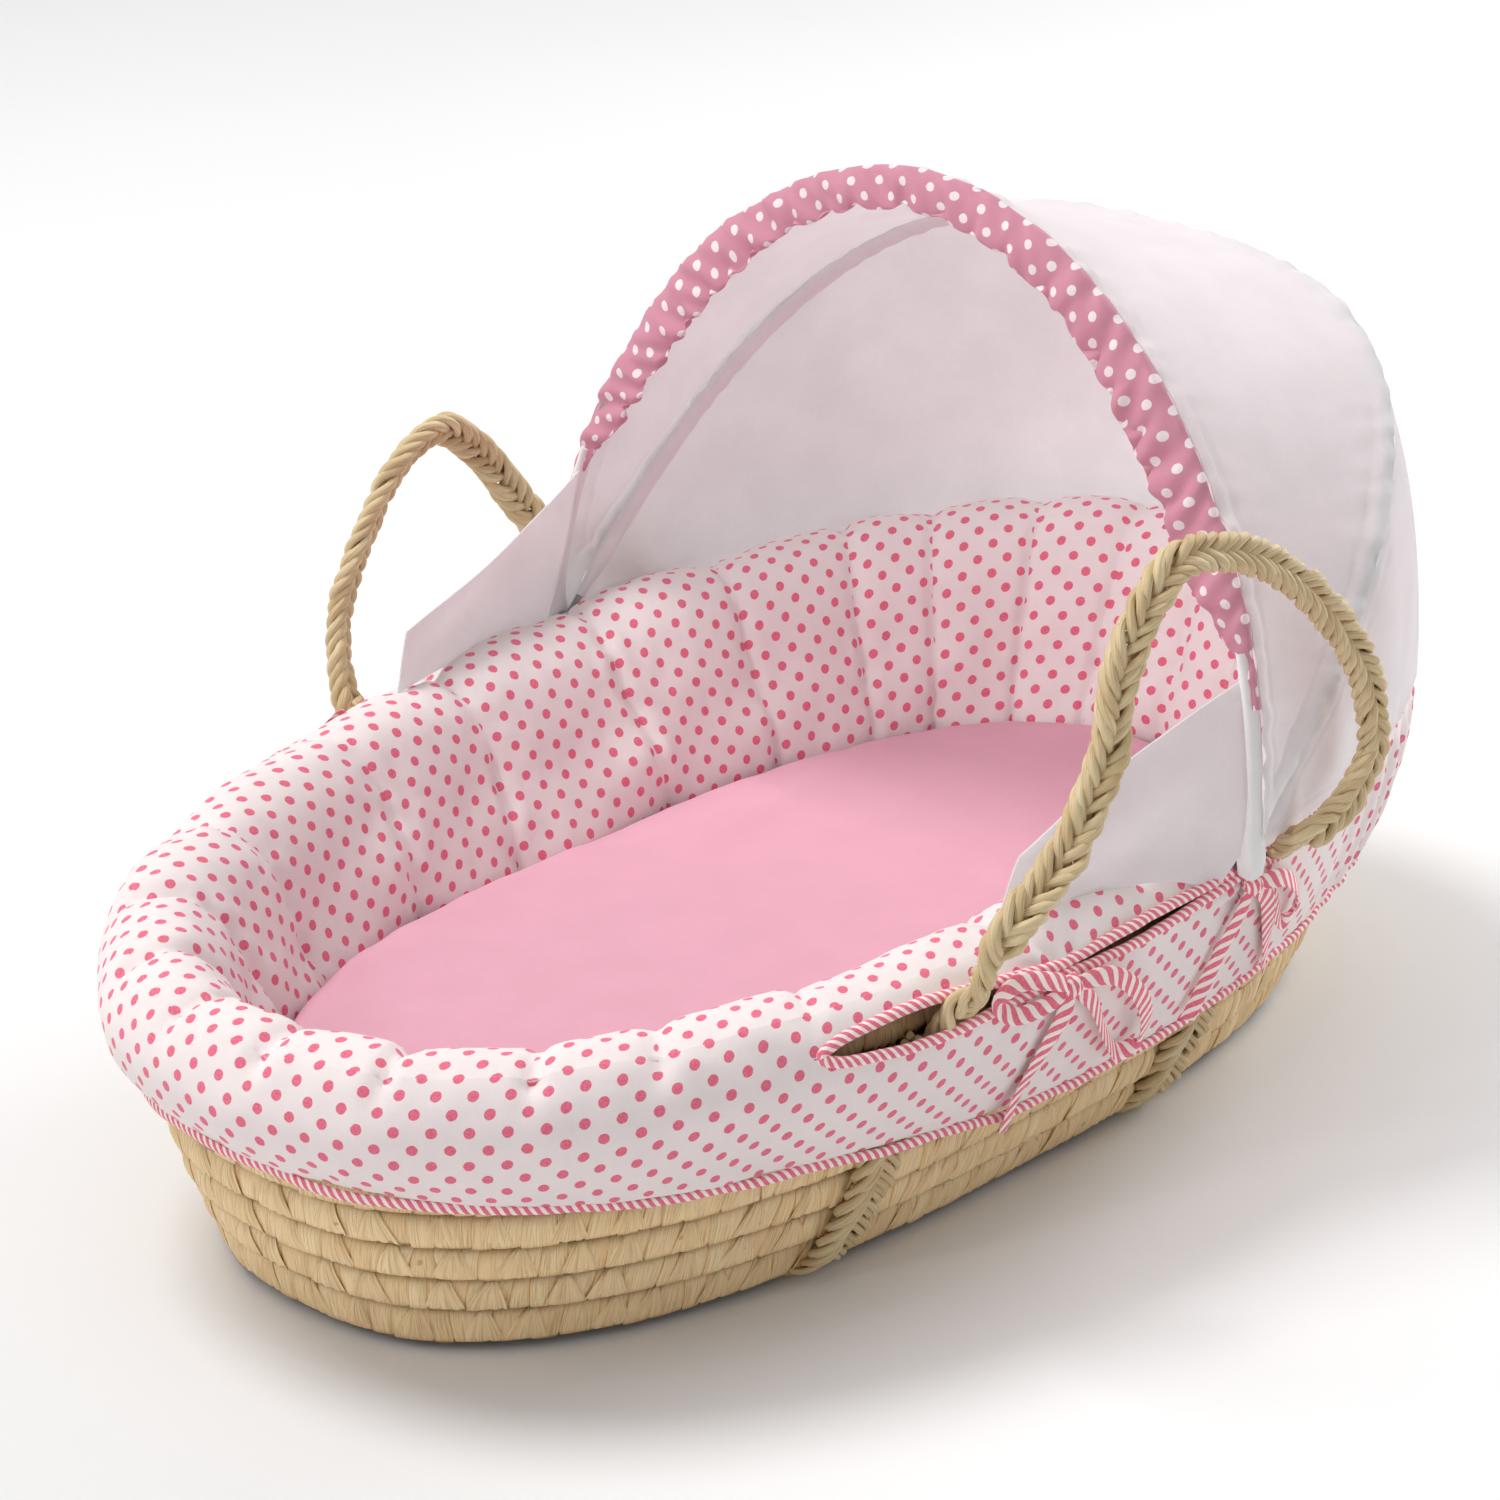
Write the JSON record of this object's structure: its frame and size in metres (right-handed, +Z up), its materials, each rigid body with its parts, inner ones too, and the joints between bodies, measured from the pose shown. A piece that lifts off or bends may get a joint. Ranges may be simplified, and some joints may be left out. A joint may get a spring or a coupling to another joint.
{
  "type": "moses basket",
  "caption": "Oval woven straw baby basket with braided carrying handles, a padded dotted liner with tied side slits, a sheeted mattress and a folding two-hoop cotton hood.",
  "frame": {"origin": "the middle of the basket's footprint, on the surface it stands on", "axes": "+X towards the head end, where the hood is; +Y towards the far long side; +Z up"},
  "size_m": [0.8352, 0.56, 0.4993],
  "materials": {
    "straw": "natural coiled straw wrapped with flat husk strips, dull with pale highlights",
    "straw_braid": "plaited straw braid, dry and slightly glossy",
    "dotted_cotton": "padded off-white cotton printed with small pink dots",
    "striped_binding": "cotton binding and ribbon in fine pink and white diagonal stripes",
    "pink_sheet": "plain pink woven cotton sheet",
    "pink_dotted_sleeve": "pink cotton printed with white dots, gathered",
    "white_cotton": "plain white woven cotton",
    "foam": "soft foam in a cotton cover",
    "elastic": "white covered elastic",
    "spring_wire": "drawn spring wire and rivets",
    "white_plastic": "moulded white plastic"
  },
  "bodies": {
    "root": {"basket_base": "straw", "basket_wall": "straw", "basket_rim": "straw", "band_foot": "straw_braid", "band_head": "straw_braid", "liner_floor": "dotted_cotton", "liner_bumper": "dotted_cotton", "liner_skirt": "dotted_cotton", "hem_binding": "striped_binding", "slit_binding_near": "striped_binding", "slit_binding_far": "striped_binding", "tie_near_foot": "striped_binding", "tie_near_head": "striped_binding", "tie_far_foot": "striped_binding", "tie_far_head": "striped_binding", "mattress_core": "foam", "fitted_sheet": "pink_sheet", "sheet_elastic": "elastic", "pivot_bracket_near": "white_plastic", "pivot_bracket_far": "white_plastic", "pivot_pin_near": "spring_wire", "pivot_pin_far": "spring_wire"},
    "hood_rear": {"rear_hoop": "spring_wire", "rear_channel": "white_cotton", "canopy_back": "white_cotton"},
    "hood_front": {"front_hoop": "spring_wire", "front_sleeve": "pink_dotted_sleeve", "front_channel_near": "white_cotton", "front_channel_far": "white_cotton", "canopy_top": "white_cotton", "wing_near": "white_cotton", "wing_far": "white_cotton"},
    "handle_near": {"handle_near": "straw_braid"},
    "handle_far": {"handle_far": "straw_braid"}
  },
  "joints": [
    {"name": "hood_rear_fold", "type": "hinge", "parent": "root", "child": "hood_rear", "pos_m": [0.072, 0, 0.182], "axis": [0, 1, 0], "range_deg": [0, 36], "deforming": ["canopy_back"]},
    {"name": "hood_front_fold", "type": "hinge", "parent": "hood_rear", "child": "hood_front", "pos_m": [0.072, 0, 0.182], "axis": [0, 1, 0], "range_deg": [0, 26], "deforming": ["canopy_top", "wing_near", "wing_far"]},
    {"name": "handle_near_swing", "type": "hinge", "parent": "root", "child": "handle_near", "pos_m": [0, -0.265, 0.182], "axis": [1, 0, 0], "range_deg": [-4, 140]},
    {"name": "handle_far_swing", "type": "hinge", "parent": "root", "child": "handle_far", "pos_m": [0, 0.265, 0.182], "axis": [-1, 0, 0], "range_deg": [-4, 140]}
  ]
}
